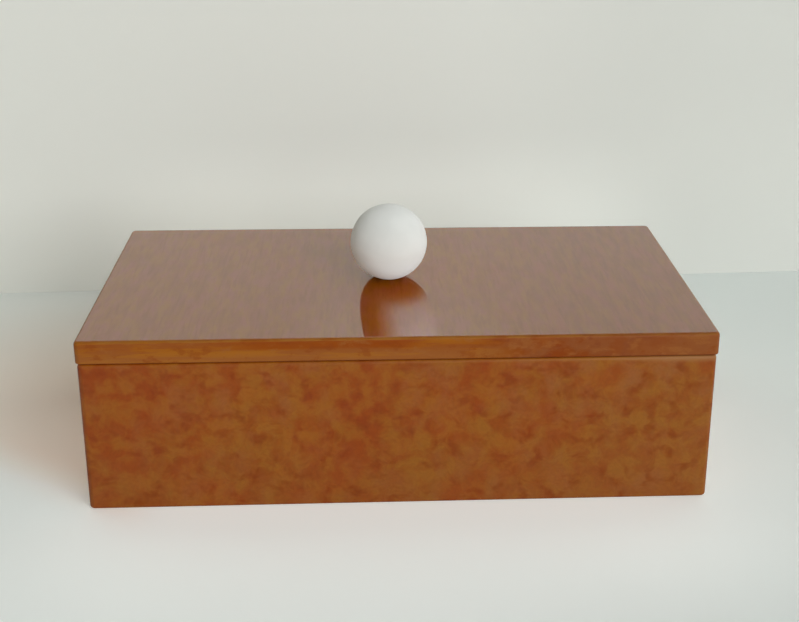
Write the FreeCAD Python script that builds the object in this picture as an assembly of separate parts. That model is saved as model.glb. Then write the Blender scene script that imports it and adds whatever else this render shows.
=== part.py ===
"""A lidded wooden box for watercolours, in millimetres.

The box is a mitred case with a grooved-in bottom, a lift-off lid with a ball knob, and a lift-out tray.
The case is lined to carry the tray, and the tray has lanes for paint pans and brushes.
The origin is on the table, under the middle of the lid. +X is to the right, +Y to the back and +Z up.
"""

import FreeCAD
import Part
import math
import os

from FreeCAD import Vector

# ---- Driving dimensions -------------------------------------------------------------------------

# Case
CASE_LENGTH = 266.0          # outside, along X
CASE_DEPTH = 151.0           # outside, along Y
CASE_HEIGHT = 67.0           # table to rim
WALL = 8.0                   # thickness of the four case boards
CASE_CORNER = 2.6            # rounding of the upright outside corners
RIM_ROUND = 2.0              # rounding of the rim's outside arris
RIM_INNER_ROUND = 0.6        # rounding of the rim's inside arris
SOLE_ROUND = 1.2             # rounding of the bottom arris
PANEL = 4.0                  # thickness of the bottom panel
PANEL_LIFT = 3.0             # bottom panel above the table
PANEL_GROOVE = 4.0           # how far the bottom panel's groove goes into each board
TONGUE = 2.0                 # thickness of the loose tongue in each mitre
TONGUE_COVER = 1.2           # wood left between the tongue and the inside of the case
TONGUE_START = 4.0           # tongue's lower end above the bottom panel's groove
TONGUE_STOP = 8.0            # tongue's upper end below the rim

# Lid
LID_OVERHANG = 0.5           # lid beyond the case, all round
LID = 10.0                   # thickness of the lid board
LID_CORNER = 2.4             # rounding of the lid's upright corners
LID_TOP_ROUND = 1.6          # rounding of the lid's top arris
LID_UNDER_ROUND = 0.7        # rounding of the lid's bottom arris
BATTEN = 7.0                 # width of the locating battens
BATTEN_DROP = 7.0            # how far the battens reach into the case
BATTEN_LEAD = 1.0            # chamfer that leads the battens into the case
LID_FIT = 0.4                # gap between battens and case

# Knob
BALL_RADIUS = 17.5
BALL_SEAT = 0.9              # width of the ball's flat seat around its bore
KNOB_OFFSET = -3.5           # knob's place along X from the lid's middle
SCREW_RADIUS = 2.0           # M4 machine screw
SCREW_HEAD_RIM = 2.0         # screw's head beyond its shank
SCREW_HEAD = 2.4             # thickness of the head
SCREW_HEAD_DOME = 0.7        # rounding of the head's rim
SCREW_TIP = 0.6              # chamfer on the screw's end
SCREW_SHORT = 1.5            # screw's end below the insert's end
SCREW_GAP = 0.25             # lid's and washer's holes around the screw
RECESS_MARGIN = 1.7          # cross recess inside the head's rim
RECESS_WIDTH = 0.9
RECESS_DEPTH = 1.3
WASHER = 0.8                 # thickness of the washer
WASHER_RIM = 0.6             # washer beyond the screw's head
SINK_GAP = 0.6               # lid's counterbore around the washer
INSERT_WALL = 1.5            # threaded insert around the screw
INSERT_LENGTH = 12.0
INSERT_SINK = 1.0            # insert's mouth above the ball's seat
INSERT_RING = 0.5            # depth of the insert's holding grooves
INSERT_RING_WIDTH = 1.2
BORE_SPARE = 2.0             # ball's bore beyond the insert's end

# Lining and store
LINER = 4.0                  # thickness of the lining boards
STORE_DIVIDER = 3.0          # thickness of the store's dividers
STORE_HOUSING = 1.5          # depth of the grooves that hold them
STORE_HEADROOM = 1.5         # dividers below the tray
STORE_BACK_DEPTH = 40.0      # depth of the long compartment at the back

# Tray
TRAY_HEIGHT = 20.0
TRAY_SIDE = 4.0              # thickness of the tray's boards
TRAY_FIT = 0.5               # gap between tray and case
TRAY_HEADROOM = 0.5          # gap between tray and battens
TRAY_ROUND = 0.6             # rounding of the tray's top edges
TRAY_BASE = 3.0              # thickness of the tray's base
TRAY_LIP = 1.5               # board left outside the base's rebate
LANE_DIVIDER = 3.0           # thickness of the lane dividers
LANE_DROP = 3.0              # lane dividers below the tray's rim
LANE_HOUSING = 1.5           # depth of the grooves in the tray's ends
PARTITION = 2.4              # thickness of the cross partitions in the pan lanes
PARTITION_DROP = 6.0         # cross partitions below the tray's rim
HANDLE_HEADROOM = 1.0        # handle below the lid
HANDLE_LENGTH = 92.0         # raised part of the middle lane divider
HANDLE_CORNER = 5.0          # rounding of the grip's ends
HANDLE_FOOT = 3.0            # hollow rounding where the grip rises
HANDLE_EASE = 0.8            # rounding of the grip's and the finger slot's arrises
SLOT_CHEEK = 15.0            # wood beside the finger slot
SLOT_ROOF = 5.0              # grip above the finger slot
SLOT_HEIGHT = 10.0

FIT = 0.1                    # gap of a glued or housed joint
EASE = 0.5                   # sanded rounding of the inside boards' arrises

# ---- Places worked out from them ----------------------------------------------------------------

INNER_LENGTH = CASE_LENGTH - 2 * WALL
INNER_DEPTH = CASE_DEPTH - 2 * WALL
FLOOR = PANEL_LIFT + PANEL
LID_LENGTH = CASE_LENGTH + 2 * LID_OVERHANG
LID_DEPTH = CASE_DEPTH + 2 * LID_OVERHANG
LID_TOP = CASE_HEIGHT + LID
BATTEN_FOOT = CASE_HEIGHT - BATTEN_DROP
SCREW_SEAT = CASE_HEIGHT + SCREW_HEAD
SCREW_HEAD_RADIUS = SCREW_RADIUS + SCREW_HEAD_RIM
WASHER_RADIUS = SCREW_HEAD_RADIUS + WASHER_RIM
INSERT_RADIUS = SCREW_RADIUS + INSERT_WALL
INSERT_MOUTH = LID_TOP + INSERT_SINK
INSERT_END = INSERT_MOUTH + INSERT_LENGTH
TRAY_TOP = BATTEN_FOOT - TRAY_HEADROOM
TRAY_FOOT = TRAY_TOP - TRAY_HEIGHT
TRAY_FLOOR = TRAY_FOOT + TRAY_BASE
TRAY_LENGTH = INNER_LENGTH - 2 * TRAY_FIT
TRAY_DEPTH = INNER_DEPTH - 2 * TRAY_FIT
TRAY_INNER_LENGTH = TRAY_LENGTH - 2 * TRAY_SIDE
TRAY_INNER_DEPTH = TRAY_DEPTH - 2 * TRAY_SIDE
LANE = (TRAY_INNER_DEPTH - 3 * LANE_DIVIDER) / 4
LANE_PITCH = LANE + LANE_DIVIDER
LANE_TOP = TRAY_TOP - LANE_DROP
HOUSING_REACH = TRAY_INNER_LENGTH / 2 + LANE_HOUSING
STORE_LENGTH = INNER_LENGTH - 2 * LINER
STORE_DEPTH = INNER_DEPTH - 2 * LINER
STORE_TOP = TRAY_FOOT - STORE_HEADROOM
SIDES = ("front", "back", "left", "right")


# ---- Shapes that several parts share ------------------------------------------------------------

def block(x0, x1, y0, y1, z0, z1):
    """A plain block between two corners."""
    return Part.makeBox(x1 - x0, y1 - y0, z1 - z0, Vector(x0, y0, z0))


def centred_block(length, depth, z0, z1):
    """A block about the Z axis."""
    return block(-length / 2, length / 2, -depth / 2, depth / 2, z0, z1)


def disc(radius, z0, z1, x=0.0, y=0.0):
    """An upright cylinder."""
    return Part.makeCylinder(radius, z1 - z0, Vector(x, y, z0))


def upright_edges(shape):
    """The shape's straight vertical edges."""
    return [e for e in shape.Edges if len(e.Vertexes) == 2 and abs(e.BoundBox.ZLength - e.Length) < 1e-6]


def level_edges(shape, z, inside=None, outside=None):
    """The edges that lie at height z, within or beyond a rectangle (length, depth) about the Z axis."""
    def within(edge, size):
        box = edge.BoundBox
        return (max(-box.XMin, box.XMax) < size[0] / 2 + 1e-3
                and max(-box.YMin, box.YMax) < size[1] / 2 + 1e-3)

    found = [e for e in shape.Edges if abs(e.BoundBox.ZMin - z) < 1e-6 and abs(e.BoundBox.ZMax - z) < 1e-6]
    if inside:
        found = [e for e in found if within(e, inside)]
    if outside:
        found = [e for e in found if not within(e, outside)]
    return found


def long_edges(shape, z, axis):
    """The straight edges at height z that run along axis "X" or "Y"."""
    return [e for e in level_edges(shape, z) if abs(getattr(e.BoundBox, axis + "Length") - e.Length) < 1e-6]


def standing_board(x0, x1, y0, y1, z0, z1, axis):
    """A board on edge, which runs along axis "X" or "Y" and has its two long top arrises eased."""
    board = block(x0, x1, y0, y1, z0, z1)
    return board.makeFillet(EASE, long_edges(board, z1, axis))


def rounded_board(length, depth, z0, z1, corner, top_round, bottom_round):
    """A board with rounded upright corners and rounded top and bottom arrises."""
    board = centred_block(length, depth, z0, z1)
    board = board.makeFillet(corner, upright_edges(board))
    limit = 0.8 * corner     # an arris rounding stays inside the corner's own radius
    board = board.makeFillet(min(top_round, limit), level_edges(board, z1))
    return board.makeFillet(min(bottom_round, limit), level_edges(board, z0))


def mitred_boards(ring, length, depth, width, z0, z1):
    """Splits a rectangular ring along its corner mitres and gives its four boards by side."""
    x, y = length / 2, depth / 2
    inner_x, inner_y = x - width, y - width
    outlines = {
        "front": ((-x, -y), (x, -y), (inner_x, -inner_y), (-inner_x, -inner_y)),
        "back": ((x, y), (-x, y), (-inner_x, inner_y), (inner_x, inner_y)),
        "left": ((-x, y), (-x, -y), (-inner_x, -inner_y), (-inner_x, inner_y)),
        "right": ((x, -y), (x, y), (inner_x, inner_y), (inner_x, -inner_y)),
    }
    boards = {}
    for side, outline in outlines.items():
        points = [Vector(px, py, z0) for px, py in outline]
        face = Part.Face(Part.makePolygon(points + points[:1]))
        boards[side] = ring.common(face.extrude(Vector(0, 0, z1 - z0))).Solids[0]
    return boards


# ---- Case ---------------------------------------------------------------------------------------

def corner_tongue(sign_x, sign_y, spare=0.0):
    """The loose tongue across one mitre, or the slot for it where it is given some spare size."""
    reach = (WALL / 2 - TONGUE_COVER) * math.sqrt(2) - TONGUE / 2
    width = 2 * (reach + spare)
    thickness = TONGUE + 2 * spare
    z0 = FLOOR + TONGUE_START - spare
    z1 = CASE_HEIGHT - TONGUE_STOP + spare
    tongue = Part.makeBox(width, thickness, z1 - z0, Vector(-width / 2, -thickness / 2, z0))
    tongue.rotate(Vector(0, 0, 0), Vector(0, 0, 1), -45 * sign_x * sign_y)
    middle_x = CASE_LENGTH / 2 - WALL / 2
    middle_y = CASE_DEPTH / 2 - WALL / 2
    tongue.translate(Vector(sign_x * middle_x, sign_y * middle_y, 0))
    return tongue


def case_parts():
    """The four mitred boards, their tongues and the bottom panel."""
    shell = rounded_board(CASE_LENGTH, CASE_DEPTH, 0, CASE_HEIGHT, CASE_CORNER, RIM_ROUND, SOLE_ROUND)
    shell = shell.cut(centred_block(INNER_LENGTH, INNER_DEPTH, -1, CASE_HEIGHT + 1))
    inner_rim = level_edges(shell, CASE_HEIGHT, inside=(INNER_LENGTH, INNER_DEPTH))
    shell = shell.makeFillet(RIM_INNER_ROUND, inner_rim)
    groove = centred_block(INNER_LENGTH + 2 * PANEL_GROOVE, INNER_DEPTH + 2 * PANEL_GROOVE,
                           PANEL_LIFT, FLOOR + FIT)
    shell = shell.cut(groove)
    corners = [(sx, sy) for sx in (-1, 1) for sy in (-1, 1)]
    for sx, sy in corners:
        shell = shell.cut(corner_tongue(sx, sy, spare=FIT))
    boards = mitred_boards(shell, CASE_LENGTH, CASE_DEPTH, 1.5 * WALL, 0, CASE_HEIGHT)
    parts = {side + "_wall": boards[side] for side in SIDES}
    parts["corner_tongues"] = Part.makeCompound([corner_tongue(sx, sy) for sx, sy in corners])
    reach = 2 * (PANEL_GROOVE - FIT)
    parts["bottom_panel"] = centred_block(INNER_LENGTH + reach, INNER_DEPTH + reach, PANEL_LIFT, FLOOR)
    return parts


# ---- Lid and knob -------------------------------------------------------------------------------

def lid_parts():
    """The lid board and the four battens that locate it in the case."""
    board = rounded_board(LID_LENGTH, LID_DEPTH, CASE_HEIGHT, LID_TOP,
                          LID_CORNER, LID_TOP_ROUND, LID_UNDER_ROUND)
    board = board.cut(disc(SCREW_RADIUS + SCREW_GAP, CASE_HEIGHT - 1, LID_TOP + 1, KNOB_OFFSET))
    board = board.cut(disc(WASHER_RADIUS + SINK_GAP, CASE_HEIGHT - 1, SCREW_SEAT + WASHER, KNOB_OFFSET))
    frame_length = INNER_LENGTH - 2 * LID_FIT
    frame_depth = INNER_DEPTH - 2 * LID_FIT
    frame = centred_block(frame_length, frame_depth, BATTEN_FOOT, CASE_HEIGHT)
    frame = frame.makeChamfer(BATTEN_LEAD, level_edges(frame, BATTEN_FOOT))
    batten_inside = (frame_length - 2 * BATTEN, frame_depth - 2 * BATTEN)
    frame = frame.cut(centred_block(*batten_inside, BATTEN_FOOT - 1, CASE_HEIGHT + 1))
    frame = frame.makeFillet(EASE, level_edges(frame, BATTEN_FOOT, inside=batten_inside))
    battens = mitred_boards(frame, frame_length, frame_depth, 1.5 * BATTEN, BATTEN_FOOT, CASE_HEIGHT)
    parts = {"lid_batten_" + side: battens[side] for side in SIDES}
    parts["lid_board"] = board
    return parts


def knob_ball():
    """The ball, with a flat seat and a bore for its insert."""
    bore_radius = INSERT_RADIUS + FIT
    rise = math.sqrt(BALL_RADIUS ** 2 - (bore_radius + BALL_SEAT) ** 2)
    ball = Part.makeSphere(BALL_RADIUS, Vector(KNOB_OFFSET, 0, LID_TOP + rise))
    ball = ball.cut(disc(BALL_RADIUS, LID_TOP - BALL_RADIUS, LID_TOP, KNOB_OFFSET))
    return ball.cut(disc(bore_radius, LID_TOP - 1, INSERT_END + BORE_SPARE, KNOB_OFFSET))


def knob_insert():
    """The threaded insert, with three holding grooves around it."""
    insert = disc(INSERT_RADIUS, INSERT_MOUTH, INSERT_END, KNOB_OFFSET)
    for share in (0.25, 0.5, 0.75):
        z0 = INSERT_MOUTH + share * INSERT_LENGTH - INSERT_RING_WIDTH / 2
        z1 = z0 + INSERT_RING_WIDTH
        ring = disc(INSERT_RADIUS + 1, z0, z1, KNOB_OFFSET)
        insert = insert.cut(ring.cut(disc(INSERT_RADIUS - INSERT_RING, z0 - 1, z1 + 1, KNOB_OFFSET)))
    return insert.cut(disc(SCREW_RADIUS + FIT / 2, INSERT_MOUTH - 1, INSERT_END + 1, KNOB_OFFSET))


def knob_screw():
    """The screw, which comes up through the lid into the insert, with a cross recess in its head."""
    head = disc(SCREW_HEAD_RADIUS, CASE_HEIGHT, SCREW_SEAT, KNOB_OFFSET)
    head = head.makeFillet(SCREW_HEAD_DOME, level_edges(head, CASE_HEIGHT))
    tip = INSERT_END - SCREW_SHORT
    shank = disc(SCREW_RADIUS, SCREW_SEAT, tip, KNOB_OFFSET)
    shank = shank.makeChamfer(SCREW_TIP, level_edges(shank, tip))
    screw = head.fuse(shank).removeSplitter()
    long = SCREW_HEAD_RADIUS - RECESS_MARGIN
    short = RECESS_WIDTH / 2
    for half_x, half_y in ((long, short), (short, long)):
        screw = screw.cut(block(KNOB_OFFSET - half_x, KNOB_OFFSET + half_x, -half_y, half_y,
                                CASE_HEIGHT - 1, CASE_HEIGHT + RECESS_DEPTH))
    return screw


def knob_washer():
    """The washer between the screw's head and the lid."""
    washer = disc(WASHER_RADIUS, SCREW_SEAT, SCREW_SEAT + WASHER, KNOB_OFFSET)
    return washer.cut(disc(SCREW_RADIUS + SCREW_GAP, SCREW_SEAT - 1, SCREW_SEAT + WASHER + 1, KNOB_OFFSET))


def knob_parts():
    """The ball and what holds it from under the lid."""
    return {"knob_ball": knob_ball(), "knob_insert": knob_insert(),
            "knob_screw": knob_screw(), "knob_washer": knob_washer()}


# ---- Lining and store ---------------------------------------------------------------------------

def store_parts():
    """The lining boards that carry the tray, and the three dividers housed in them."""
    half_length, half_depth = INNER_LENGTH / 2, INNER_DEPTH / 2
    store_x, store_y = STORE_LENGTH / 2, STORE_DEPTH / 2
    ring = centred_block(INNER_LENGTH, INNER_DEPTH, FLOOR, TRAY_FOOT)
    ring = ring.cut(centred_block(STORE_LENGTH, STORE_DEPTH, FLOOR - 1, TRAY_FOOT + 1))
    ring = ring.makeFillet(EASE, level_edges(ring, TRAY_FOOT, inside=(STORE_LENGTH, STORE_DEPTH)))
    liners = {
        "front": ring.common(block(-half_length, half_length, -half_depth, -store_y, FLOOR, TRAY_FOOT)),
        "back": ring.common(block(-half_length, half_length, store_y, half_depth, FLOOR, TRAY_FOOT)),
        "left": ring.common(block(-half_length, -store_x, -store_y, store_y, FLOOR, TRAY_FOOT)),
        "right": ring.common(block(store_x, half_length, -store_y, store_y, FLOOR, TRAY_FOOT)),
    }
    long_back = store_y - STORE_BACK_DEPTH
    long_front = long_back - STORE_DIVIDER
    slot_top = TRAY_FOOT + 1
    for side in ("left", "right"):
        liners[side] = liners[side].cut(block(
            -store_x - STORE_HOUSING, store_x + STORE_HOUSING,
            long_front - FIT, long_back + FIT, FLOOR - 1, slot_top))
    reach = STORE_HOUSING - FIT
    long_divider = standing_board(-store_x - reach, store_x + reach, long_front, long_back,
                                  FLOOR, STORE_TOP, "X")

    parts = {}
    bay = (STORE_LENGTH - 2 * STORE_DIVIDER) / 3
    for name, sign in (("left", -1), ("right", 1)):
        middle = sign * (bay + STORE_DIVIDER) / 2
        x0, x1 = middle - STORE_DIVIDER / 2, middle + STORE_DIVIDER / 2
        housing = block(x0 - FIT, x1 + FIT, -store_y - STORE_HOUSING, long_front + STORE_HOUSING / 2,
                        FLOOR - 1, slot_top)
        liners["front"] = liners["front"].cut(housing)
        long_divider = long_divider.cut(housing)
        parts["store_divider_" + name] = standing_board(
            x0, x1, -store_y - reach, long_front + STORE_HOUSING / 2 - FIT, FLOOR, STORE_TOP, "Y")
    parts["store_divider_long"] = long_divider
    for side in SIDES:
        parts["liner_" + side] = liners[side]
    return parts


# ---- Tray ---------------------------------------------------------------------------------------

def handle_divider():
    """The middle lane divider, which rises into a grip with a finger slot."""
    half = HOUSING_REACH - FIT
    thick = LANE_DIVIDER / 2
    grip_top = CASE_HEIGHT - HANDLE_HEADROOM
    rise = grip_top - LANE_TOP
    grip = HANDLE_LENGTH / 2
    board = block(-half, half, -thick, thick, TRAY_FLOOR, LANE_TOP)
    board = board.fuse(block(-grip, grip, -thick, thick, TRAY_FLOOR, grip_top)).removeSplitter()

    def grip_edges(z):
        return [e for e in level_edges(board, z) if abs(e.BoundBox.YLength - e.Length) < 1e-6
                and abs(abs(e.BoundBox.XMin) - grip) < 1e-6]

    board = board.makeFillet(min(HANDLE_CORNER, 0.55 * rise), grip_edges(grip_top))
    board = board.makeFillet(min(HANDLE_FOOT, 0.35 * rise), grip_edges(LANE_TOP))
    slot_half = grip - SLOT_CHEEK
    slot_top = grip_top - SLOT_ROOF
    slot = block(-slot_half, slot_half, -thick - 1, thick + 1, slot_top - SLOT_HEIGHT, slot_top)
    cross_edges = [e for e in slot.Edges if abs(e.BoundBox.YLength - e.Length) < 1e-6]
    board = board.cut(slot.makeFillet(0.49 * SLOT_HEIGHT, cross_edges))
    arrises = [e for e in board.Edges if e.BoundBox.YLength < 1e-6 and e.BoundBox.ZMin > TRAY_FLOOR + EASE
               and abs(e.BoundBox.XMin) < half - EASE]
    return board.makeFillet(min(HANDLE_EASE, 0.3 * LANE_DIVIDER), arrises)


def tray_boards():
    """The four mitred boards, rebated for the base and grooved for the lane dividers."""
    ring = centred_block(TRAY_LENGTH, TRAY_DEPTH, TRAY_FOOT, TRAY_TOP)
    ring = ring.cut(centred_block(TRAY_INNER_LENGTH, TRAY_INNER_DEPTH, TRAY_FOOT - 1, TRAY_TOP + 1))
    ring = ring.makeFillet(TRAY_ROUND, level_edges(ring, TRAY_TOP))
    ring = ring.makeFillet(EASE, level_edges(ring, TRAY_FOOT, outside=(TRAY_INNER_LENGTH, TRAY_INNER_DEPTH)))
    ring = ring.cut(centred_block(TRAY_LENGTH - 2 * TRAY_LIP, TRAY_DEPTH - 2 * TRAY_LIP,
                                  TRAY_FOOT - 1, TRAY_FLOOR))
    for middle in (-LANE_PITCH, 0, LANE_PITCH):
        ring = ring.cut(block(-HOUSING_REACH, HOUSING_REACH, middle - LANE_DIVIDER / 2 - FIT,
                              middle + LANE_DIVIDER / 2 + FIT, TRAY_FLOOR, LANE_TOP + FIT))
    return mitred_boards(ring, TRAY_LENGTH, TRAY_DEPTH, 1.5 * TRAY_SIDE, TRAY_FOOT, TRAY_TOP)


def tray_parts():
    """The tray's boards and base, and the dividers and partitions that stand on the base."""
    inset = 2 * (TRAY_LIP + FIT)
    parts = {
        "tray_base": centred_block(TRAY_LENGTH - inset, TRAY_DEPTH - inset, TRAY_FOOT, TRAY_FLOOR),
        "tray_handle_divider": handle_divider(),
    }
    for name, middle in (("front", -LANE_PITCH), ("back", LANE_PITCH)):
        parts["lane_divider_" + name] = standing_board(
            FIT - HOUSING_REACH, HOUSING_REACH - FIT,
            middle - LANE_DIVIDER / 2, middle + LANE_DIVIDER / 2, TRAY_FLOOR, LANE_TOP, "X")
    bay = (TRAY_INNER_LENGTH - 2 * PARTITION) / 3
    pan_lanes = {"front": -LANE_PITCH / 2, "middle": LANE_PITCH / 2, "back": 1.5 * LANE_PITCH}
    for lane, lane_y in pan_lanes.items():
        for name, sign in (("left", -1), ("right", 1)):
            x = sign * (bay + PARTITION) / 2
            parts["pan_partition_" + lane + "_" + name] = standing_board(
                x - PARTITION / 2, x + PARTITION / 2, lane_y - LANE / 2, lane_y + LANE / 2,
                TRAY_FLOOR, TRAY_TOP - PARTITION_DROP, "Y")
    for side, board in tray_boards().items():
        parts["tray_" + side] = board
    return parts


# ---- All parts ----------------------------------------------------------------------------------

def main():
    os.makedirs("parts", exist_ok=True)
    for group in (case_parts, lid_parts, knob_parts, store_parts, tray_parts):
        for node, shape in group().items():
            shape.exportStep(os.path.join("parts", node + ".step"))


main()
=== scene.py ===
"""The looks of a lidded watercolour box around its CAD frame: its finishes, its stage, its light and its camera.

Everything is in metres, in the frame's own axes: +X to the right, +Y to the back and +Z up from the table.
A window is a tuple: where it starts, where it ends, and what it gives at each, which is 0 and 1 where it isn't said.
A pattern is fractal noise: its scale, detail and roughness, and how its coordinates are stretched and shifted.
"""

import math
from collections import namedtuple

import bpy
from mathutils import Matrix, Vector

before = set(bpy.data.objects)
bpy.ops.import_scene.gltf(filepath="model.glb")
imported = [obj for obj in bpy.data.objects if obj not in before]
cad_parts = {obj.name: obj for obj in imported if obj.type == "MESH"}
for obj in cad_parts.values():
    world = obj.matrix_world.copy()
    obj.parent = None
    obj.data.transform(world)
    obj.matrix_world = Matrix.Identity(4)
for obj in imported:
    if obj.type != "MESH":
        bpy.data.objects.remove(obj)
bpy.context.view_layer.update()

# ---- Camera -------------------------------------------------------------------------------------

CAMERA_PLACE = Vector((-0.01399, -0.58171, 0.28280))
CAMERA_YAW = math.radians(-3.566)
CAMERA_PITCH = math.radians(20.293)      # downwards
CAMERA_ROLL = math.radians(0.516)
CAMERA_SENSOR = 36.0                     # millimetres
CAMERA_LENS = 59.79                      # millimetres
CAMERA_SHIFT = (-0.0560, -0.0198)        # shares of the picture's width
CAMERA_NEAREST = 0.01                    # nearest that it sees


# ---- Node helpers -------------------------------------------------------------------------------

Pattern = namedtuple("Pattern", "scale detail roughness stretch shift distortion",
                     defaults=(0.5, None, (0.0, 0.0, 0.0), 0.0))


def put(tree, kind, inputs=None, **settings):
    """Adds a node with its settings, and gives each named input a value or a link."""
    made = tree.nodes.new(kind)
    for name, value in settings.items():
        setattr(made, name, value)
    for name, value in (inputs or {}).items():
        if isinstance(value, bpy.types.NodeSocket):
            tree.links.new(value, made.inputs[name])
        else:
            made.inputs[name].default_value = value
    return made


def maths(tree, operation, first, second=0.0, third=0.0, clamp=False):
    """One step of arithmetic. With clamp, the outcome stays between 0 and 1."""
    return put(tree, "ShaderNodeMath", {0: first, 1: second, 2: third},
               operation=operation, use_clamp=clamp).outputs[0]


def times(tree, first, *others):
    """A product."""
    for other in others:
        first = maths(tree, "MULTIPLY", first, other)
    return first


def plus(tree, first, *others):
    """A sum."""
    for other in others:
        first = maths(tree, "ADD", first, other)
    return first


def rest_of(tree, share):
    """What a share leaves of 1."""
    return maths(tree, "SUBTRACT", 1.0, share)


def axes(tree, vector):
    """A vector's X, Y and Z."""
    return put(tree, "ShaderNodeSeparateXYZ", {0: vector}).outputs


def facing(tree):
    """The way that the surface faces."""
    return tree.nodes.new("ShaderNodeNewGeometry").outputs["Normal"]


def mapped(tree, vector, stretch, shift=(0.0, 0.0, 0.0), turn=(0.0, 0.0, 0.0)):
    """Stretches, shifts and turns a pattern's coordinates."""
    return put(tree, "ShaderNodeMapping",
               {"Vector": vector, "Scale": stretch, "Location": shift, "Rotation": turn}).outputs[0]


def pattern(tree, place, kind, scale=None, output="Fac"):
    """Fractal noise of a named kind, 0 to 1. A kind without a scale is given one here."""
    if kind.stretch:
        place = mapped(tree, place, kind.stretch, kind.shift)
    return put(tree, "ShaderNodeTexNoise",
               {"Vector": place, "Scale": kind.scale if scale is None else scale, "Detail": kind.detail,
                "Roughness": kind.roughness, "Distortion": kind.distortion}).outputs[output]


def window_of(tree, value, low, high, to_low=0.0, to_high=1.0):
    """Maps low..high smoothly to to_low..to_high, and holds it there outside."""
    return put(tree, "ShaderNodeMapRange",
               {"Value": value, "From Min": low, "From Max": high, "To Min": to_low, "To Max": to_high},
               interpolation_type="SMOOTHSTEP").outputs[0]


def opaque(colour):
    """A colour with full alpha."""
    return (*colour, 1.0)


def blend(tree, share, first, second, how="MIX"):
    """Mixes two colours, each a socket or a red, green and blue."""
    first, second = (colour if isinstance(colour, bpy.types.NodeSocket) else opaque(colour)
                     for colour in (first, second))
    return put(tree, "ShaderNodeMix", {0: share, 6: first, 7: second},
               data_type="RGBA", blend_type=how).outputs[2]


def tinted(tree, colour, tint):
    """A colour multiplied by another."""
    return blend(tree, 1.0, colour, tint, "MULTIPLY")


def grey(tree, value):
    """A grey of a given value."""
    return put(tree, "ShaderNodeCombineColor", {0: value, 1: value, 2: value}).outputs[0]


def new_material(name):
    """An empty material: its tree, its Principled shader and its object coordinates."""
    material = bpy.data.materials.new(name)
    material.use_nodes = True
    tree = material.node_tree
    tree.nodes.clear()
    shader = tree.nodes.new("ShaderNodeBsdfPrincipled")
    tree.links.new(shader.outputs[0], tree.nodes.new("ShaderNodeOutputMaterial").inputs[0])
    place = tree.nodes.new("ShaderNodeTexCoord").outputs["Object"]
    return material, tree, shader, place


def finish_with(tree, shader, links=None, **values):
    """Links a shader's varying sockets and sets its constant ones."""
    for name, socket in (links or {}).items():
        tree.links.new(socket, shader.inputs[name])
    for name, value in values.items():
        shader.inputs[name.replace("_", " ")].default_value = value


def new_group(name, inputs, outputs):
    """An empty shader group: its tree, its input sockets and its output sockets."""
    tree = bpy.data.node_groups.new(name, "ShaderNodeTree")
    kinds = {"value": "NodeSocketFloat", "vector": "NodeSocketVector"}
    for way, sockets in (("INPUT", inputs), ("OUTPUT", outputs)):
        for socket_name, kind in sockets.items():
            tree.interface.new_socket(socket_name, in_out=way, socket_type=kinds[kind])
    return tree, tree.nodes.new("NodeGroupInput").outputs, tree.nodes.new("NodeGroupOutput").inputs


def use_group(tree, group, **inputs):
    """Places a group with its values."""
    named = {name.replace("_", " "): value for name, value in inputs.items()}
    return put(tree, "ShaderNodeGroup", named, node_tree=group).outputs


def bump(tree, height, depth):
    """A surface's small ups and downs, of a depth in metres."""
    return put(tree, "ShaderNodeBump", {"Height": height, "Distance": depth, "Strength": 1.0}).outputs[0]


# ---- Shared effects -----------------------------------------------------------------------------

SWIRLS = Pattern(90.0, 2.0)
SWIRL_MIDDLE = (0.5, 0.5, 0.5)           # average of the swirl's colour
BURL_CLOUDS = Pattern(None, 3.0, 0.55)
BURL_SPOTS = Pattern(None, 2.0, 0.5, (0.75, 0.75, 1.0))
BURL_HAZES = Pattern(85.0, 3.0, 0.6, (1.0, 1.0, 0.8), (0.3, 0.2, 0.1))
BURL_FIBRES = Pattern(700.0, 2.0, 0.6)
CLOUD_WINDOW = (0.34, 0.66)
SPOT_WINDOW = (0.48, 0.74)
HAZE_WINDOW = (0.42, 0.72)

GRAIN_RINGS = Pattern(None, 2.0, 0.5, (0.06, 1.0, 1.0), distortion=0.4)
GRAIN_FIBRES = Pattern(1800.0, 3.0, 0.6, (0.03, 1.0, 1.0))
GRAIN_PORES = Pattern(2600.0, 1.0, 0.5, (0.10, 1.0, 1.0))
PORE_WINDOW = (0.62, 0.74)

BRUSH_WAVES = Pattern(None, 2.0, 0.4)


def make_burl_figure():
    """Burl: soft clouds, darker spots and a pale haze, on swirled coordinates, with fine fibres."""
    tree, given, result = new_group(
        "burl figure", {"Place": "vector", "Cloud Scale": "value", "Spot Scale": "value", "Swirl": "value"},
        {"Cloud": "value", "Spot": "value", "Haze": "value", "Fibre": "value"})
    swirl = pattern(tree, given["Place"], SWIRLS, output="Color")
    centred = put(tree, "ShaderNodeVectorMath", {0: swirl, 1: SWIRL_MIDDLE}, operation="SUBTRACT").outputs[0]
    shift = put(tree, "ShaderNodeVectorMath", {0: centred, "Scale": given["Swirl"]}, operation="SCALE").outputs[0]
    swirled = put(tree, "ShaderNodeVectorMath", {0: given["Place"], 1: shift}, operation="ADD").outputs[0]
    cloud = pattern(tree, swirled, BURL_CLOUDS, given["Cloud Scale"])
    spot = pattern(tree, swirled, BURL_SPOTS, given["Spot Scale"])
    haze = pattern(tree, given["Place"], BURL_HAZES)
    tree.links.new(window_of(tree, cloud, *CLOUD_WINDOW), result["Cloud"])
    tree.links.new(window_of(tree, spot, *SPOT_WINDOW), result["Spot"])
    tree.links.new(window_of(tree, haze, *HAZE_WINDOW), result["Haze"])
    tree.links.new(pattern(tree, swirled, BURL_FIBRES), result["Fibre"])
    return tree


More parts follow.
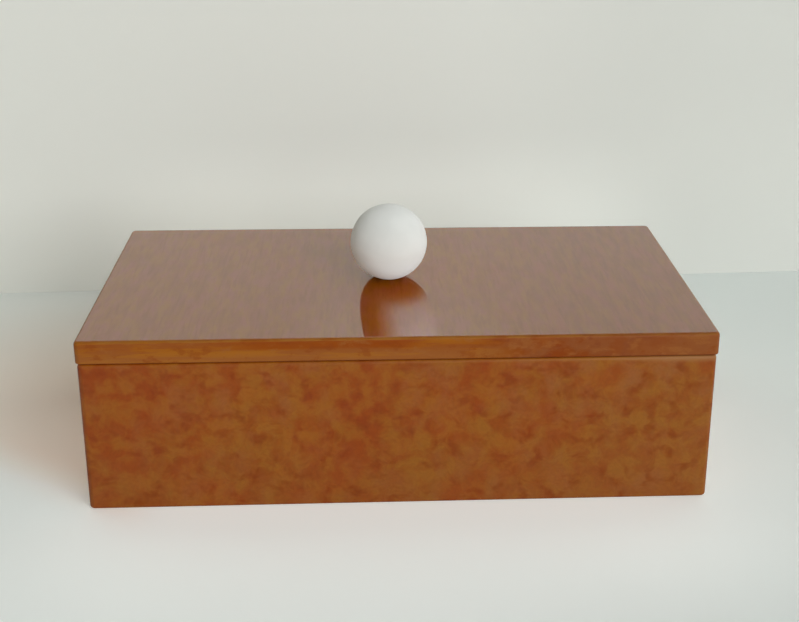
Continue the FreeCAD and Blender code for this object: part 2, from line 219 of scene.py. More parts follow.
def make_long_grain():
    """Straight-grained wood along X: growth rings, fibres and short pores."""
    tree, given, result = new_group(
        "long grain", {"Place": "vector", "Ring Scale": "value"},
        {"Ring": "value", "Fibre": "value", "Pore": "value"})
    tree.links.new(pattern(tree, given["Place"], GRAIN_RINGS, given["Ring Scale"]), result["Ring"])
    tree.links.new(pattern(tree, given["Place"], GRAIN_FIBRES), result["Fibre"])
    tree.links.new(window_of(tree, pattern(tree, given["Place"], GRAIN_PORES), *PORE_WINDOW), result["Pore"])
    return tree


def make_brushed_coat():
    """The slow waves that a brushed coat of lacquer or paint dries with."""
    tree, given, result = new_group(
        "brushed coat", {"Place": "vector", "Wave Scale": "value"}, {"Wave": "value"})
    tree.links.new(pattern(tree, given["Place"], BRUSH_WAVES, given["Wave Scale"]), result["Wave"])
    return tree


BURL_FIGURE = make_burl_figure()
LONG_GRAIN = make_long_grain()
BRUSHED_COAT = make_brushed_coat()


# ---- Lacquered burl of the case -----------------------------------------------------------------

BURL_GOLD = (0.306, 0.099, 0.0070)
BURL_RED = (0.262, 0.052, 0.0020)
BURL_SPOT = (0.224, 0.036, 0.0007)
BURL_HAZE = (0.295, 0.091, 0.0185)
RED_CAST = (1.03, 0.955, 0.92)
OCHRE_CAST = (0.97, 1.05, 1.09)
SPOT_SHARE = 0.7
CASTS = Pattern(48.0, 4.0, 0.6)          # where the burl turns red or ochre
CAST_WINDOW = (0.36, 0.64)
FIBRE_SHADES = (0.3, 0.7, 0.95, 1.05)

BURL_ON_CASE = {"Cloud_Scale": 120.0, "Spot_Scale": 190.0, "Swirl": 0.008}
GOLDEN_AREAS = Pattern(22.0, 1.0)
GOLDEN_AREA_SHARES = (0.35, 0.65, -0.15, 0.15)
OCHRE_RIGHT = (0.03, 0.12, -0.2, 0.65)   # along X
OCHRE_LEFT = (-0.13, -0.07, 0.5, 0.0)
PALE_RIGHT = (0.02, 0.12, 0.0, 0.16)
OCHRE_LEFT_IS_LOW = (0.005, 0.035, 1.0, 0.0)         # up Z
OCHRE_UP = (0.0, 0.066, 0.45, -0.25)
PALE_LOW = (0.0, 0.035, 0.30, 0.0)
HAZY_UP = (0.030, 0.062, 0.42, 0.85)

# painted highlight: the case's rounded rim is painted paler, golden on the left and pale on the right, where the
# window lamp's highlight falls
RIM_HIGHLIGHT_GOLDEN = (0.330, 0.118, 0.012)
RIM_HIGHLIGHT_PALE = (0.340, 0.155, 0.050)
# painted shade in the seam between the case and the lid
SEAM_SHADE = (0.150, 0.022, 0.001)
RIM_HIGHLIGHT_TURNS_PALE = (0.07, 0.13)            # along X, from golden to pale
RIM_HIGHLIGHT_STARTS = (0.0645, 0.0630)              # heights where the painted highlight starts, on the left and on the right
RIM_HIGHLIGHT_FULL = 0.0660
RIM_HIGHLIGHT_SHARES = (-0.02, 0.10, 0.15, 0.8)   # along X
SEAM_SHADE_HEIGHTS = (0.0662, 0.0668, 0.0, 0.6)          # up Z, painted shade in the seam under the lid

LACQUER_ON_SIDES = 0.23                  # coat weights
LACQUER_ON_EDGE = 0.11
LACQUER_ON_TOP = 1.0
LACQUER_THICKENS = (0.93, 0.998)         # as the surface turns to face up
LACQUER_WAVE_SCALE = 90.0
LACQUER_WAVE_DEPTH = 0.00008


def lacquer(tree, shader, place, colour, on_sides):
    """The clear glossy coat over a burl colour, thinner on upright faces and arrises."""
    wave = use_group(tree, BRUSHED_COAT, Place=place, Wave_Scale=LACQUER_WAVE_SCALE)["Wave"]
    coat = window_of(tree, axes(tree, facing(tree))["Z"], *LACQUER_THICKENS, on_sides, LACQUER_ON_TOP)
    finish_with(tree, shader, {"Base Color": colour, "Coat Weight": coat,
                               "Normal": bump(tree, wave, LACQUER_WAVE_DEPTH)},
                Roughness=0.35, IOR=1.45, Specular_IOR_Level=0.05, Coat_Roughness=0.04, Coat_IOR=1.8)


def burl_colour(tree, place, figure, gold, ochre, pale, hazy):
    """Mixes the burl's colours.

    Gold adds golden clouds, ochre turns it from red to yellow, pale adds haze all over and hazy adds it in patches.
    """
    colour = blend(tree, maths(tree, "ADD", figure["Cloud"], gold, clamp=True), BURL_RED, BURL_GOLD)
    colour = blend(tree, maths(tree, "MULTIPLY_ADD", figure["Haze"], hazy, pale), colour, BURL_HAZE)
    colour = blend(tree, times(tree, figure["Spot"], SPOT_SHARE), colour, BURL_SPOT)
    cast = window_of(tree, pattern(tree, place, CASTS), *CAST_WINDOW)
    cast = maths(tree, "ADD", cast, ochre, clamp=True)
    colour = tinted(tree, colour, blend(tree, cast, RED_CAST, OCHRE_CAST))
    return tinted(tree, colour, grey(tree, window_of(tree, figure["Fibre"], *FIBRE_SHADES)))


def case_burl():
    """Glossy orange-brown burl veneer: redder at the upper left, more golden at the right and the lower left, with a
    painted highlight on its rim and painted shade in the seam under the lid.
    """
    material, tree, shader, place = new_material("lacquered burl of the case")
    figure = use_group(tree, BURL_FIGURE, Place=place, **BURL_ON_CASE)
    across, _, height = axes(tree, place)
    gold = window_of(tree, pattern(tree, place, GOLDEN_AREAS), *GOLDEN_AREA_SHARES)
    low_left = times(tree, window_of(tree, across, *OCHRE_LEFT), window_of(tree, height, *OCHRE_LEFT_IS_LOW))
    ochre = plus(tree, window_of(tree, across, *OCHRE_RIGHT), low_left, window_of(tree, height, *OCHRE_UP))
    pale = plus(tree, window_of(tree, height, *PALE_LOW), window_of(tree, across, *PALE_RIGHT))
    colour = burl_colour(tree, place, figure, gold, ochre, pale, window_of(tree, height, *HAZY_UP))
    # painted highlight along the rim, stronger towards the right
    right = window_of(tree, across, *RIM_HIGHLIGHT_TURNS_PALE)
    rim_highlight = window_of(tree, height, window_of(tree, right, 0.0, 1.0, *RIM_HIGHLIGHT_STARTS), RIM_HIGHLIGHT_FULL)
    rim_highlight = times(tree, rim_highlight, window_of(tree, across, *RIM_HIGHLIGHT_SHARES))
    colour = blend(tree, rim_highlight, colour, blend(tree, right, RIM_HIGHLIGHT_GOLDEN, RIM_HIGHLIGHT_PALE))
    # painted shade in the seam under the lid
    colour = blend(tree, window_of(tree, height, *SEAM_SHADE_HEIGHTS), colour, SEAM_SHADE)
    lacquer(tree, shader, place, colour, LACQUER_ON_SIDES)
    return material


# ---- Lacquered burl of the lid ------------------------------------------------------------------

TOP_MAUVE = (0.352, 0.098, 0.033)
TOP_GOLDEN = (0.348, 0.116, 0.000)
TOP_DARK = (0.272, 0.076, 0.002)
TOP_ON_RIGHT = (0.92, 0.86, 0.70)        # what the right end keeps of the top's colours
TOP_PATCHES = Pattern(190.0, 4.0, 0.65, (1.0, 0.25, 1.0))
TOP_SHADES = Pattern(220.0, 3.0, 0.6, (1.0, 0.2, 1.0), (0.4, 0.1, 0.2))
TOP_STREAKS = Pattern(620.0, 2.0, 0.55, (1.0, 0.09, 1.0))
TOP_PATCH_SHARES = (0.36, 0.64)
TOP_SHADE_SHARES = (0.36, 0.68, 0.0, 0.6)
TOP_STREAK_SHARES = (0.50, 0.72, 0.0, 0.7)
TOP_TURNS_RIGHT = (0.02, 0.09)           # along X

EDGE_GOLD = (0.362, 0.120, 0.006)
EDGE_AMBER = (0.284, 0.080, 0.012)
EDGE_HAZE = (0.312, 0.109, 0.023)
EDGE_FIRE = (0.270, 0.052, 0.001)
EDGE_RED = (0.236, 0.045, 0.003)
EDGE_BROWN = (0.248, 0.071, 0.017)
EDGE_KNOT = (0.205, 0.042, 0.012)
EDGE_PALE = (0.266, 0.086, 0.021)
EDGE_STREAKS = Pattern(330.0, 4.0, 0.6, (0.09, 0.09, 1.0))
EDGE_CLOUDS = Pattern(90.0, 5.0, 0.62, (0.6, 0.6, 1.0), (0.3, 0.0, 0.0))
EDGE_KNOTS = Pattern(150.0, 4.0, 0.6, (0.8, 0.8, 1.0), (0.1, 0.0, 0.4))
EDGE_GLOWS = Pattern(70.0, 4.0, 0.6, (0.8, 0.8, 1.0), (0.7, 0.2, 0.0))
EDGE_MOTTLE = Pattern(230.0, 4.0, 0.65, (0.55, 0.55, 1.0), (0.2, 0.6, 0.1))
STREAK_SHARES = (0.42, 0.56)
CLOUD_SHARES = (0.42, 0.58)
KNOT_SHARES = (0.52, 0.66, 0.0, 0.9)
GLOW_SHARES = (0.50, 0.62, 0.0, 0.9)
MOTTLE_HAZE_SHARES = (0.53, 0.67, 0.0, 0.6)
MOTTLE_RED_SHARES = (0.33, 0.46, 0.55, 0.0)
STREAKS_TURN_TO_CLOUDS = (0.015, 0.058)  # along X
FIRE_HEIGHTS = (0.0735, 0.0755)
FIRE_RAGS = 0.004                        # how far the streaks lower the fiery band's edge
FIRE_ACROSS = ((-0.085, -0.055, 0.2, 0.9), (-0.002, 0.016, 1.0, 0.3), (0.050, 0.090, 1.0, 0.0))
LOW_HAZE_HEIGHTS = (0.0685, 0.0735, 0.55, 0.0)
LOW_HAZE_ACROSS = (0.02, 0.06, 1.0, 0.0)
BROWN_ACROSS = (0.078, 0.095, 0.0, 0.6)  # along X, as PALE_ACROSS
PALE_ACROSS = (0.105, 0.125, 0.0, 0.6)

ARRIS_GOLD = (0.330, 0.128, 0.018)
ARRIS_CLOUDS = Pattern(160.0, 3.0, 0.6, (0.4, 0.4, 1.0), (0.0, 0.4, 0.2))
ARRIS_CLOUD_SHARES = (0.40, 0.60, 0.35, 1.0)
ARRIS_ACROSS = (0.0, 0.12, 1.0, 0.6)
EDGE_TURNS_TO_ARRIS = (0.25, 0.55)       # as the surface turns to face up
ARRIS_TURNS_TO_TOP = (0.88, 0.98)
# painted shade on the lid's arris that faces down over the seam
UNDER_ARRIS_SHADE = (-0.55, -0.10, 0.65, 0.0)

WARP_ASIDE = -0.115                      # slope of the lacquer in front of the knob
WARP_BACK = -0.85                        # another, which grows by this for each metre of the way to the back
WARP_HALF_WIDTH = (0.025, 0.050, 1.0, 0.0)           # either way along X
WARP_IN_FRONT = (-0.006, 0.010, 1.0, 0.0)            # along Y
WARP_ON_TOP = (0.98, 1.0)                # as the surface turns to face up


def lid_top(tree, place):
    """The lid's top: quiet patches and sparse streaks that run from front to back."""
    patch = window_of(tree, pattern(tree, place, TOP_PATCHES), *TOP_PATCH_SHARES)
    colour = blend(tree, patch, TOP_MAUVE, TOP_GOLDEN)
    for kind, shares in ((TOP_SHADES, TOP_SHADE_SHARES), (TOP_STREAKS, TOP_STREAK_SHARES)):
        colour = blend(tree, window_of(tree, pattern(tree, place, kind), *shares), colour, TOP_DARK)
    right = window_of(tree, axes(tree, place)["X"], *TOP_TURNS_RIGHT)
    return blend(tree, right, colour, tinted(tree, colour, TOP_ON_RIGHT))


def lid_edge(tree, place):
    """The lid's edge: level golden streaks on the left, a fiery band under the arris and brown burl on the right."""
    across, _, height = axes(tree, place)
    streak = pattern(tree, place, EDGE_STREAKS)
    streaked = blend(tree, window_of(tree, streak, *STREAK_SHARES), EDGE_AMBER, EDGE_GOLD)
    clouded = EDGE_RED
    for kind, shares, colour in ((EDGE_CLOUDS, CLOUD_SHARES, EDGE_BROWN), (EDGE_KNOTS, KNOT_SHARES, EDGE_KNOT),
                                 (EDGE_GLOWS, GLOW_SHARES, EDGE_AMBER)):
        clouded = blend(tree, window_of(tree, pattern(tree, place, kind), *shares), clouded, colour)
    colour = blend(tree, window_of(tree, across, *STREAKS_TURN_TO_CLOUDS), streaked, clouded)
    ragged = plus(tree, height, times(tree, streak, FIRE_RAGS))
    fire = times(tree, window_of(tree, ragged, *FIRE_HEIGHTS),
                 *(window_of(tree, across, *window) for window in FIRE_ACROSS))
    colour = blend(tree, fire, colour, EDGE_FIRE)
    low = times(tree, window_of(tree, height, *LOW_HAZE_HEIGHTS), window_of(tree, across, *LOW_HAZE_ACROSS))
    colour = blend(tree, low, colour, EDGE_HAZE)
    colour = blend(tree, window_of(tree, across, *BROWN_ACROSS), colour, EDGE_BROWN)
    colour = blend(tree, window_of(tree, across, *PALE_ACROSS), colour, EDGE_PALE)
    mottle = pattern(tree, place, EDGE_MOTTLE)
    colour = blend(tree, window_of(tree, mottle, *MOTTLE_HAZE_SHARES), colour, EDGE_HAZE)
    return blend(tree, window_of(tree, mottle, *MOTTLE_RED_SHARES), colour, EDGE_RED)


def warped_lacquer(tree, place):
    """The slight warp of the top's lacquer in front of the knob, which shifts what it mirrors."""
    across, along, _ = axes(tree, place)
    near = times(tree, window_of(tree, maths(tree, "ABSOLUTE", across), *WARP_HALF_WIDTH),
                 window_of(tree, along, *WARP_IN_FRONT),
                 window_of(tree, axes(tree, facing(tree))["Z"], *WARP_ON_TOP))
    lean = put(tree, "ShaderNodeCombineXYZ",
               {0: times(tree, near, WARP_ASIDE), 1: times(tree, near, times(tree, along, WARP_BACK))}).outputs[0]
    leaning = put(tree, "ShaderNodeVectorMath", {0: facing(tree), 1: lean}, operation="ADD").outputs[0]
    return put(tree, "ShaderNodeVectorMath", {0: leaning}, operation="NORMALIZE").outputs[0]


def lid_burl():
    """The lid: a quiet top, a golden arris, and an edge that goes from golden streaks to red burl, with painted shade
    on its lower arris over the seam.
    """
    material, tree, shader, place = new_material("lacquered burl of the lid")
    up = axes(tree, facing(tree))["Z"]
    golden = times(tree, window_of(tree, pattern(tree, place, ARRIS_CLOUDS), *ARRIS_CLOUD_SHARES),
                   window_of(tree, axes(tree, place)["X"], *ARRIS_ACROSS))
    edge = lid_edge(tree, place)
    arris = blend(tree, golden, edge, ARRIS_GOLD)
    colour = blend(tree, window_of(tree, up, *EDGE_TURNS_TO_ARRIS), edge, arris)
    colour = blend(tree, window_of(tree, up, *ARRIS_TURNS_TO_TOP), colour, lid_top(tree, place))
    # painted shade on the lower arris, over the seam
    colour = blend(tree, window_of(tree, up, *UNDER_ARRIS_SHADE), colour, SEAM_SHADE)
    lacquer(tree, shader, place, colour, LACQUER_ON_EDGE)
    tree.links.new(warped_lacquer(tree, place), shader.inputs["Coat Normal"])
    return material


# ---- Inner wood and plywood ---------------------------------------------------------------------

INNER_WOOD_LIGHT = (0.62, 0.42, 0.235)
INNER_WOOD_DARK = (0.47, 0.285, 0.14)
INNER_WOOD_PORE = (0.30, 0.165, 0.075)
INNER_RING_SCALE = 260.0
INNER_RING_SHARES = (0.35, 0.65)
INNER_FIBRE_SHARES = (0.35, 0.7, 0.0, 0.35)
INNER_PORE_SHARE = 0.6
INNER_ROUGHNESS = (0.3, 0.7, 0.48, 0.62)
INNER_FIBRE_DEPTH = 0.00005

PLY_LIGHT = (0.68, 0.50, 0.31)
PLY_DARK = (0.53, 0.36, 0.20)
PLY_RING_SCALE = 110.0
PLY_RING_SHARES = (0.3, 0.7)
PLY_PORE_SHARE = 0.4
PLY_FIBRE_DEPTH = 0.00004

NO_STRETCH = (1.0, 1.0, 1.0)


def inner_wood(name, turn, shift):
    """Pale hardwood, sanded and waxed, with its grain along the board."""
    material, tree, shader, place = new_material(name)
    grain = use_group(tree, LONG_GRAIN, Place=mapped(tree, place, NO_STRETCH, shift, turn),
                      Ring_Scale=INNER_RING_SCALE)
    colour = blend(tree, window_of(tree, grain["Ring"], *INNER_RING_SHARES), INNER_WOOD_LIGHT, INNER_WOOD_DARK)
    colour = blend(tree, window_of(tree, grain["Fibre"], *INNER_FIBRE_SHARES), colour, INNER_WOOD_DARK)
    colour = blend(tree, times(tree, grain["Pore"], INNER_PORE_SHARE), colour, INNER_WOOD_PORE)
    finish_with(tree, shader, {"Base Color": colour,
                               "Roughness": window_of(tree, grain["Fibre"], *INNER_ROUGHNESS),
                               "Normal": bump(tree, grain["Fibre"], INNER_FIBRE_DEPTH)}, IOR=1.46)
    return material


def plywood(name):
    """Birch plywood with a quiet face."""
    material, tree, shader, place = new_material(name)
    grain = use_group(tree, LONG_GRAIN, Place=place, Ring_Scale=PLY_RING_SCALE)
    colour = blend(tree, window_of(tree, grain["Ring"], *PLY_RING_SHARES), PLY_LIGHT, PLY_DARK)
    colour = blend(tree, times(tree, grain["Pore"], PLY_PORE_SHARE), colour, INNER_WOOD_PORE)
    finish_with(tree, shader, {"Base Color": colour, "Normal": bump(tree, grain["Fibre"], PLY_FIBRE_DEPTH)},
                Roughness=0.6, IOR=1.46)
    return material


# ---- Knob ---------------------------------------------------------------------------------------

PAINT_LIGHT = (0.84, 0.86, 0.81)
PAINT_DARK = (0.81, 0.83, 0.78)
# painted light: the underside is painted paler, standing in for light from below
PAINT_LIT_BELOW = (0.87, 0.93, 0.91)
PAINT_WAVE_SCALE = 120.0
PAINT_WAVE_SHARES = (0.3, 0.7)
PAINT_WAVE_DEPTH = 0.0002
MIRRORED_BRIGHT = (1.0, 1.0, 1.0)        # painted reflection: colours that only the lid's gloss shows, white on the knob's right front, dark warm shade below and on the left
MIRRORED_HALF_SHADE = (0.66, 0.22, 0.03)
MIRRORED_SHADE = (0.50, 0.05, 0.0)
MIRRORED_SEAT_SHADE = (0.03, 0.01, 0.02)
FACES_DOWN = (-0.8, -0.1, 1.0, 0.0)      # windows by how far the surface faces up
MIRROR_LIT_UP = (-0.71, -0.43)
HALF_SHADE_UP = (-0.86, -0.62)
SEAT_SHADE_UP = (-0.96, -0.86, 1.0, 0.0)
MIRROR_LIT_ACROSS = (-0.60, 0.18)            # windows by how far it faces to the right
HALF_SHADE_ACROSS = (-0.72, -0.30)

BRASS = (0.72, 0.50, 0.20)
ZINC = (0.56, 0.57, 0.58)
BRASS_ROUGHNESS = 0.28
ZINC_ROUGHNESS = 0.30
TURNED_LINES = Pattern(6000.0, 1.0, 0.5, (0.05, 0.05, 1.0))
TURNED_WINDOW = (0.3, 0.7)
TURNED_ROUGHER = 0.12                    # what the lines add to the roughness
TURNED_DEPTH = 0.00001


def matt_white_paint():
    """Thick matt white paint with soft brush waves, painted paler on its underside. In the lid's gloss only, a painted
    reflection: its right front white, its underside and left side in dark warm painted shade with a half shade
    between, and its seat near black.
    """
    material, tree, shader, place = new_material("matt white paint")
    wave = use_group(tree, BRUSHED_COAT, Place=place, Wave_Scale=PAINT_WAVE_SCALE)["Wave"]
    across, _, up = axes(tree, facing(tree))
    colour = blend(tree, window_of(tree, wave, *PAINT_WAVE_SHARES), PAINT_DARK, PAINT_LIGHT)
    # painted light: paler paint where the knob faces down
    colour = blend(tree, window_of(tree, up, *FACES_DOWN), colour, PAINT_LIT_BELOW)
    # painted reflection: where the mirrored knob shows white, half shade or dark shade
    lit = times(tree, window_of(tree, up, *MIRROR_LIT_UP), window_of(tree, across, *MIRROR_LIT_ACROSS))
    half_shaded = times(tree, window_of(tree, up, *HALF_SHADE_UP), window_of(tree, across, *HALF_SHADE_ACROSS))
    mirrored = tree.nodes.new("ShaderNodeLightPath").outputs["Is Glossy Ray"]
    colour = blend(tree, mirrored, colour, MIRRORED_BRIGHT)
    colour = blend(tree, times(tree, mirrored, rest_of(tree, lit)), colour,
                   blend(tree, half_shaded, MIRRORED_SHADE, MIRRORED_HALF_SHADE))
    # painted shade at the seat, seen only in reflections
    colour = blend(tree, times(tree, mirrored, window_of(tree, up, *SEAT_SHADE_UP)), colour, MIRRORED_SEAT_SHADE)
    finish_with(tree, shader, {"Base Color": colour, "Normal": bump(tree, wave, PAINT_WAVE_DEPTH)},
                Roughness=0.75, IOR=1.4, Diffuse_Roughness=0.5)
    return material


def bare_metal(name, colour, roughness):
    """A turned or plated metal part."""
    material, tree, shader, place = new_material(name)
    turned = pattern(tree, place, TURNED_LINES)
    rough = window_of(tree, turned, *TURNED_WINDOW, roughness, roughness + TURNED_ROUGHER)
    finish_with(tree, shader, {"Roughness": rough, "Normal": bump(tree, turned, TURNED_DEPTH)},
                Base_Color=opaque(colour), Metallic=1.0)
    return material


# ---- Dressing the frame's nodes -----------------------------------------------------------------

ALONG_X = (0.0, 0.0, 0.0)
ALONG_Y = (0.0, 0.0, math.radians(90))
INNER_BOARDS = (         # the wood's name, its grain's way, the part of the pattern that it takes, and its boards
    ("lining wood along X", ALONG_X, (0.0, 0.0, 0.0),
     ("liner_front", "liner_back", "lid_batten_front", "lid_batten_back", "corner_tongues")),
    ("lining wood along Y", ALONG_Y, (0.3, 0.1, 0.0),
     ("liner_left", "liner_right", "lid_batten_left", "lid_batten_right")),
    ("store wood along X", ALONG_X, (0.0, 0.2, 0.3), ("store_divider_long", "tray_front", "tray_back")),
    ("store wood along Y", ALONG_Y, (0.5, 0.3, 0.1),
     ("store_divider_left", "store_divider_right", "tray_left", "tray_right")),
    ("tray divider wood", ALONG_X, (0.7, 0.4, 0.2),
     ("tray_handle_divider", "lane_divider_front", "lane_divider_back")),
    ("pan partition wood", ALONG_Y, (0.9, 0.6, 0.4),
     tuple("pan_partition_%s_%s" % (lane, side) for lane in ("front", "middle", "back")
           for side in ("left", "right"))),
)


def dress(material, *names):
    """Gives CAD nodes a finish."""
    for name in names:
        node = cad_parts[name]
        node.data.materials.clear()
        node.data.materials.append(material)


dress(case_burl(), "front_wall", "back_wall", "left_wall", "right_wall")
dress(lid_burl(), "lid_board")
for wood_name, grain_way, pattern_shift, boards in INNER_BOARDS:
    dress(inner_wood(wood_name, grain_way, pattern_shift), *boards)
dress(plywood("birch plywood"), "bottom_panel", "tray_base")
dress(matt_white_paint(), "knob_ball")
dress(bare_metal("turned brass", BRASS, BRASS_ROUGHNESS), "knob_insert")
dress(bare_metal("zinc-plated steel", ZINC, ZINC_ROUGHNESS), "knob_screw", "knob_washer")


# ---- Stage --------------------------------------------------------------------------------------

# A lift is the strength of a stage piece's glow, which only the camera and reflections see.
LIFT_IN_GLOSS = 0.3                      # share of it that reflections see
LIFT_FADES_BACK = (-0.14, 0.20, 1.0, 0.38)           # along Y
LIFT_FRONT = (-0.22, -0.10)              # along Y, where the front right loses its lift
LIFT_FRONT_RIGHT = (-0.01, 0.12, 0.75, 0.15)         # what it keeps there, along X
LIFT_RIGHT = (0.06, 0.36)                # along X
LIFT_ON_RIGHT = 0.45                     # share that the right keeps
BESIDE_BOX = (0.09, 0.20, 1.0, 0.0)      # either way along X
STAGE_FADES = (0.60, 1.10)               # distances over which the floor and backdrop give way to the room

BACKDROP_PLACE = 0.206                   # behind the box's middle
BACKDROP_TURN = math.radians(2.79)
BACKDROP_LINE = 0.002                    # width over which the floor's glow changes under it
BACKDROP_HALF = 0.9
BACKDROP_HEIGHT = 1.2
BACKDROP_COLOUR = (0.775, 0.795, 0.725)
BACKDROP_GLOW = (0.765, 0.785, 0.715)
BACKDROP_LIFT = 0.14
BACKDROP_LIFT_BY_BOX = 0.19
BACKDROP_BY_BOX = (("Z", (0.035, 0.10, 1.0, 0.0)),)
BACKDROP_DIMS = (0.04, 0.17)             # along X, where painted shade darkens the backdrop towards the right
BACKDROP_DIMS_UP = (0.03, 0.13, 0.96, 0.92)          # what its right keeps of its paleness, up Z

FLOOR_HALF = 3.0
FLOOR_COLOUR = (0.876, 0.943, 0.898)
FLOOR_GLOW = (0.86, 0.88, 0.84)
FLOOR_LIFT = 0.195
FLOOR_LIFT_BY_BOX = 0.17                 # makes up for the light that the box takes away
FLOOR_BY_BOX = (("Y", (-0.20, -0.08, 0.35, 1.0)), ("Y", (0.0, 0.05, 1.0, 0.0)))
FLOOR_LIFT_BEHIND = 0.14                 # makes up for the light that the backdrop doesn't give the floor behind it
BEHIND_BACKDROP = (BACKDROP_PLACE, BACKDROP_PLACE + BACKDROP_LINE, 0.0, FLOOR_LIFT_BEHIND)
FLOOR_PAINTED_SHADOW = (0.88, 0.73, 0.60)         # painted shadow: the floor's warm shade at the box's left
PAINTED_SHADOW_SLANT = 0.76
PAINTED_SHADOW_STARTS = (-0.190, -0.143, 0.0, 0.9)            # along the slant
PAINTED_SHADOW_ENDS = (("X", (-0.34, -0.14, 0.0, 1.0)), ("X", (-0.13, -0.10, 1.0, 0.0)), ("Y", (0.05, 0.24, 1.0, 0.0)))


def windows_of(tree, share, parts, windows):
    """A share inside several windows, each along its own axis."""
    for axis, window in windows:
        share = times(tree, share, window_of(tree, parts[axis], *window))
    return share


def stage_lift(tree, parts, lift, by_box, lift_by_box):
    """How strongly a stage piece glows: most at the front left, with a further lift by the box."""
    front = window_of(tree, parts["Y"], *LIFT_FRONT, window_of(tree, parts["X"], *LIFT_FRONT_RIGHT), 1.0)
    strength = times(tree, window_of(tree, parts["Y"], *LIFT_FADES_BACK), front,
                     window_of(tree, parts["X"], *LIFT_RIGHT, lift, LIFT_ON_RIGHT * lift))
    beside = window_of(tree, maths(tree, "ABSOLUTE", parts["X"]), *BESIDE_BOX)
    return plus(tree, strength, times(tree, windows_of(tree, beside, parts, by_box), lift_by_box))


def finish_stage(tree, shader, place, colour, glow, strength):
    """Matt paint that glows a little, fades far away and is seen through from behind."""
    finish_with(tree, shader, {"Base Color": colour, "Emission Color": glow}, Roughness=0.9, Specular_IOR_Level=0.2)
    rays = tree.nodes.new("ShaderNodeLightPath").outputs
    lifted = maths(tree, "MAXIMUM", rays["Is Camera Ray"], times(tree, rays["Is Glossy Ray"], LIFT_IN_GLOSS))
    tree.links.new(times(tree, lifted, strength), shader.inputs["Emission Strength"])
    clear = tree.nodes.new("ShaderNodeBsdfTransparent")
    behind = tree.nodes.new("ShaderNodeNewGeometry").outputs["Backfacing"]
    distance = put(tree, "ShaderNodeVectorMath", {0: place}, operation="LENGTH").outputs["Value"]
    far = times(tree, window_of(tree, distance, *STAGE_FADES),
                maths(tree, "MAXIMUM", rays["Is Camera Ray"], rays["Is Glossy Ray"]))
    mixed = put(tree, "ShaderNodeMixShader",
                {0: maths(tree, "MAXIMUM", behind, far), 1: shader.outputs[0], 2: clear.outputs[0]})
    output = next(n for n in tree.nodes if n.type == "OUTPUT_MATERIAL")
    tree.links.new(mixed.outputs[0], output.inputs[0])


def table_paint():
    """The pale table, with a painted warm shadow at the box's left."""
    material, tree, shader, place = new_material("pale table")
    parts = axes(tree, place)
    strength = stage_lift(tree, parts, FLOOR_LIFT, FLOOR_BY_BOX, FLOOR_LIFT_BY_BOX)
    from_wall = maths(tree, "SUBTRACT", parts["Y"], times(tree, parts["X"], math.tan(BACKDROP_TURN)))
    strength = plus(tree, strength, window_of(tree, from_wall, *BEHIND_BACKDROP))
    slanted = maths(tree, "MULTIPLY_ADD", parts["X"], PAINTED_SHADOW_SLANT, parts["Y"])
    # painted shadow at the box's left
    warm = windows_of(tree, window_of(tree, slanted, *PAINTED_SHADOW_STARTS), parts, PAINTED_SHADOW_ENDS)
    finish_stage(tree, shader, place, blend(tree, warm, FLOOR_COLOUR, FLOOR_PAINTED_SHADOW),
                 blend(tree, warm, FLOOR_GLOW, FLOOR_PAINTED_SHADOW), strength)
    return material


def backdrop_paint():
    """The pale backdrop, with painted shade that makes it a little darker on the right."""
    material, tree, shader, place = new_material("pale backdrop")
    parts = axes(tree, place)
    strength = stage_lift(tree, parts, BACKDROP_LIFT, BACKDROP_BY_BOX, BACKDROP_LIFT_BY_BOX)
    kept = grey(tree, window_of(tree, parts["X"], *BACKDROP_DIMS, 1.0,
                                window_of(tree, parts["Z"], *BACKDROP_DIMS_UP)))
    finish_stage(tree, shader, place, tinted(tree, BACKDROP_COLOUR, kept), tinted(tree, BACKDROP_GLOW, kept),
                 strength)
    return material


def stage_plane(name, size_x, size_y, place, material):
    """A flat stage piece."""
    bpy.ops.mesh.primitive_plane_add(size=1.0)
    plane = bpy.context.object
    plane.name = name
    plane.data.transform(place @ Matrix.Diagonal((size_x, size_y, 1.0, 1.0)))
    plane.data.materials.append(material)
    return plane


stage_plane("table", 2 * FLOOR_HALF, 2 * FLOOR_HALF, Matrix.Identity(4), table_paint())
upright = (Matrix.Translation((0.0, BACKDROP_PLACE, BACKDROP_HEIGHT / 2))
           @ Matrix.Rotation(BACKDROP_TURN, 4, "Z") @ Matrix.Rotation(math.radians(90), 4, "X"))
stage_plane("backdrop", 2 * BACKDROP_HALF, BACKDROP_HEIGHT, upright, backdrop_paint()).visible_shadow = False


# ---- Light --------------------------------------------------------------------------------------

ROOM_HEIGHTS = (0.0, 0.8)                # up Z, from eye level to overhead
ROOM_AT_EYE_LEVEL = 0.80                 # strength that the camera sees
ROOM_OVERHEAD = 0.46
ROOM_IN_GLOSS = 0.79                     # share of it that reflections show
WORLD_COLOUR = (1.0, 0.98, 0.955)
WORLD_FROM_RIGHT = 0.66                  # strength that lights the box
WINDOW_WAY = Vector((0.45, -0.80, 0.40))
WINDOW_IN_GLOSS = (0.82, 0.99, 0.0, 0.9)             # strength that it adds in reflections, by how near they point
LAMP_DISTANCE = 3.2
LAMP_SIZE = 1.9
COOL_WHITE = (1.0, 1.0, 1.055)
WARM_WHITE = (1.0, 0.88, 0.76)
LAMPS = (                                # from the box towards each soft lamp, its power and its colour
    ("window light", WINDOW_WAY, 55.0, COOL_WHITE),
    ("low front fill", Vector((0.0, -1.0, 0.03)), 19.0, COOL_WHITE),
    ("low left fill", Vector((-0.65, -0.75, 0.05)), 16.0, WARM_WHITE),
)


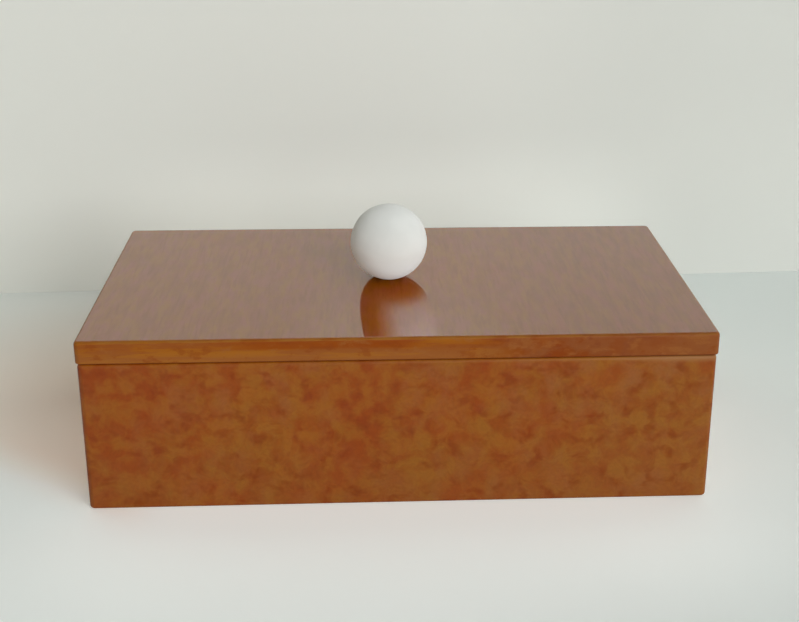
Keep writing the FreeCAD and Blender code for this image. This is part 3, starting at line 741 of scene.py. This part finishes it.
def make_world():
    """Pale light from the right. The camera and reflections see an even pale room."""
    world = bpy.data.worlds.new("soft room")
    bpy.context.scene.world = world
    world.use_nodes = True
    tree = world.node_tree
    way = tree.nodes.new("ShaderNodeTexCoord").outputs["Generated"]
    rightwards, _, upwards = axes(tree, way)
    lighting = times(tree, maths(tree, "MAXIMUM", rightwards, 0.0), WORLD_FROM_RIGHT)
    room = window_of(tree, upwards, *ROOM_HEIGHTS, ROOM_AT_EYE_LEVEL, ROOM_OVERHEAD)
    to_window = put(tree, "ShaderNodeVectorMath", {0: way, 1: WINDOW_WAY.normalized()},
                    operation="DOT_PRODUCT").outputs["Value"]
    mirrored = plus(tree, times(tree, room, ROOM_IN_GLOSS), window_of(tree, to_window, *WINDOW_IN_GLOSS))
    rays = tree.nodes.new("ShaderNodeLightPath").outputs
    glossy = rays["Is Glossy Ray"]
    seen = maths(tree, "MAXIMUM", rays["Is Camera Ray"], glossy)
    room = plus(tree, times(tree, glossy, mirrored), times(tree, rest_of(tree, glossy), room))
    strength = plus(tree, times(tree, seen, room), times(tree, rest_of(tree, seen), lighting))
    background = tree.nodes["Background"]
    background.inputs["Color"].default_value = opaque(WORLD_COLOUR)
    tree.links.new(strength, background.inputs["Strength"])


def soft_lamp(name, way, power, colour):
    """A large square lamp that faces the box. Pictures and reflections show the room in its place."""
    data = bpy.data.lights.new(name, "AREA")
    data.shape = "SQUARE"
    data.size = LAMP_SIZE
    data.energy = power
    data.color = colour
    lamp = bpy.data.objects.new(name, data)
    bpy.context.collection.objects.link(lamp)
    lamp.location = way.normalized() * LAMP_DISTANCE
    lamp.rotation_mode = "QUATERNION"
    lamp.rotation_quaternion = way.to_track_quat("Z", "Y")
    lamp.visible_camera = False
    lamp.visible_glossy = False


def make_camera():
    """The camera, from its place and its three turns."""
    yaw = Matrix.Rotation(CAMERA_YAW, 3, "Z")
    side = yaw @ Vector((1, 0, 0))
    top = yaw @ Vector((0, math.sin(CAMERA_PITCH), math.cos(CAMERA_PITCH)))
    right = side * math.cos(CAMERA_ROLL) + top * math.sin(CAMERA_ROLL)
    up = top * math.cos(CAMERA_ROLL) - side * math.sin(CAMERA_ROLL)
    data = bpy.data.cameras.new("camera")
    data.sensor_width = CAMERA_SENSOR
    data.lens = CAMERA_LENS
    data.shift_x, data.shift_y = CAMERA_SHIFT
    data.clip_start = CAMERA_NEAREST
    camera = bpy.data.objects.new("camera", data)
    bpy.context.collection.objects.link(camera)
    turn = Matrix((right, up, right.cross(up))).transposed()
    camera.matrix_world = Matrix.Translation(CAMERA_PLACE) @ turn.to_4x4()
    bpy.context.scene.camera = camera


make_world()
for lamp_name, lamp_way, lamp_power, lamp_colour in LAMPS:
    soft_lamp(lamp_name, lamp_way, lamp_power, lamp_colour)
make_camera()
bpy.context.scene.view_settings.view_transform = "Standard"
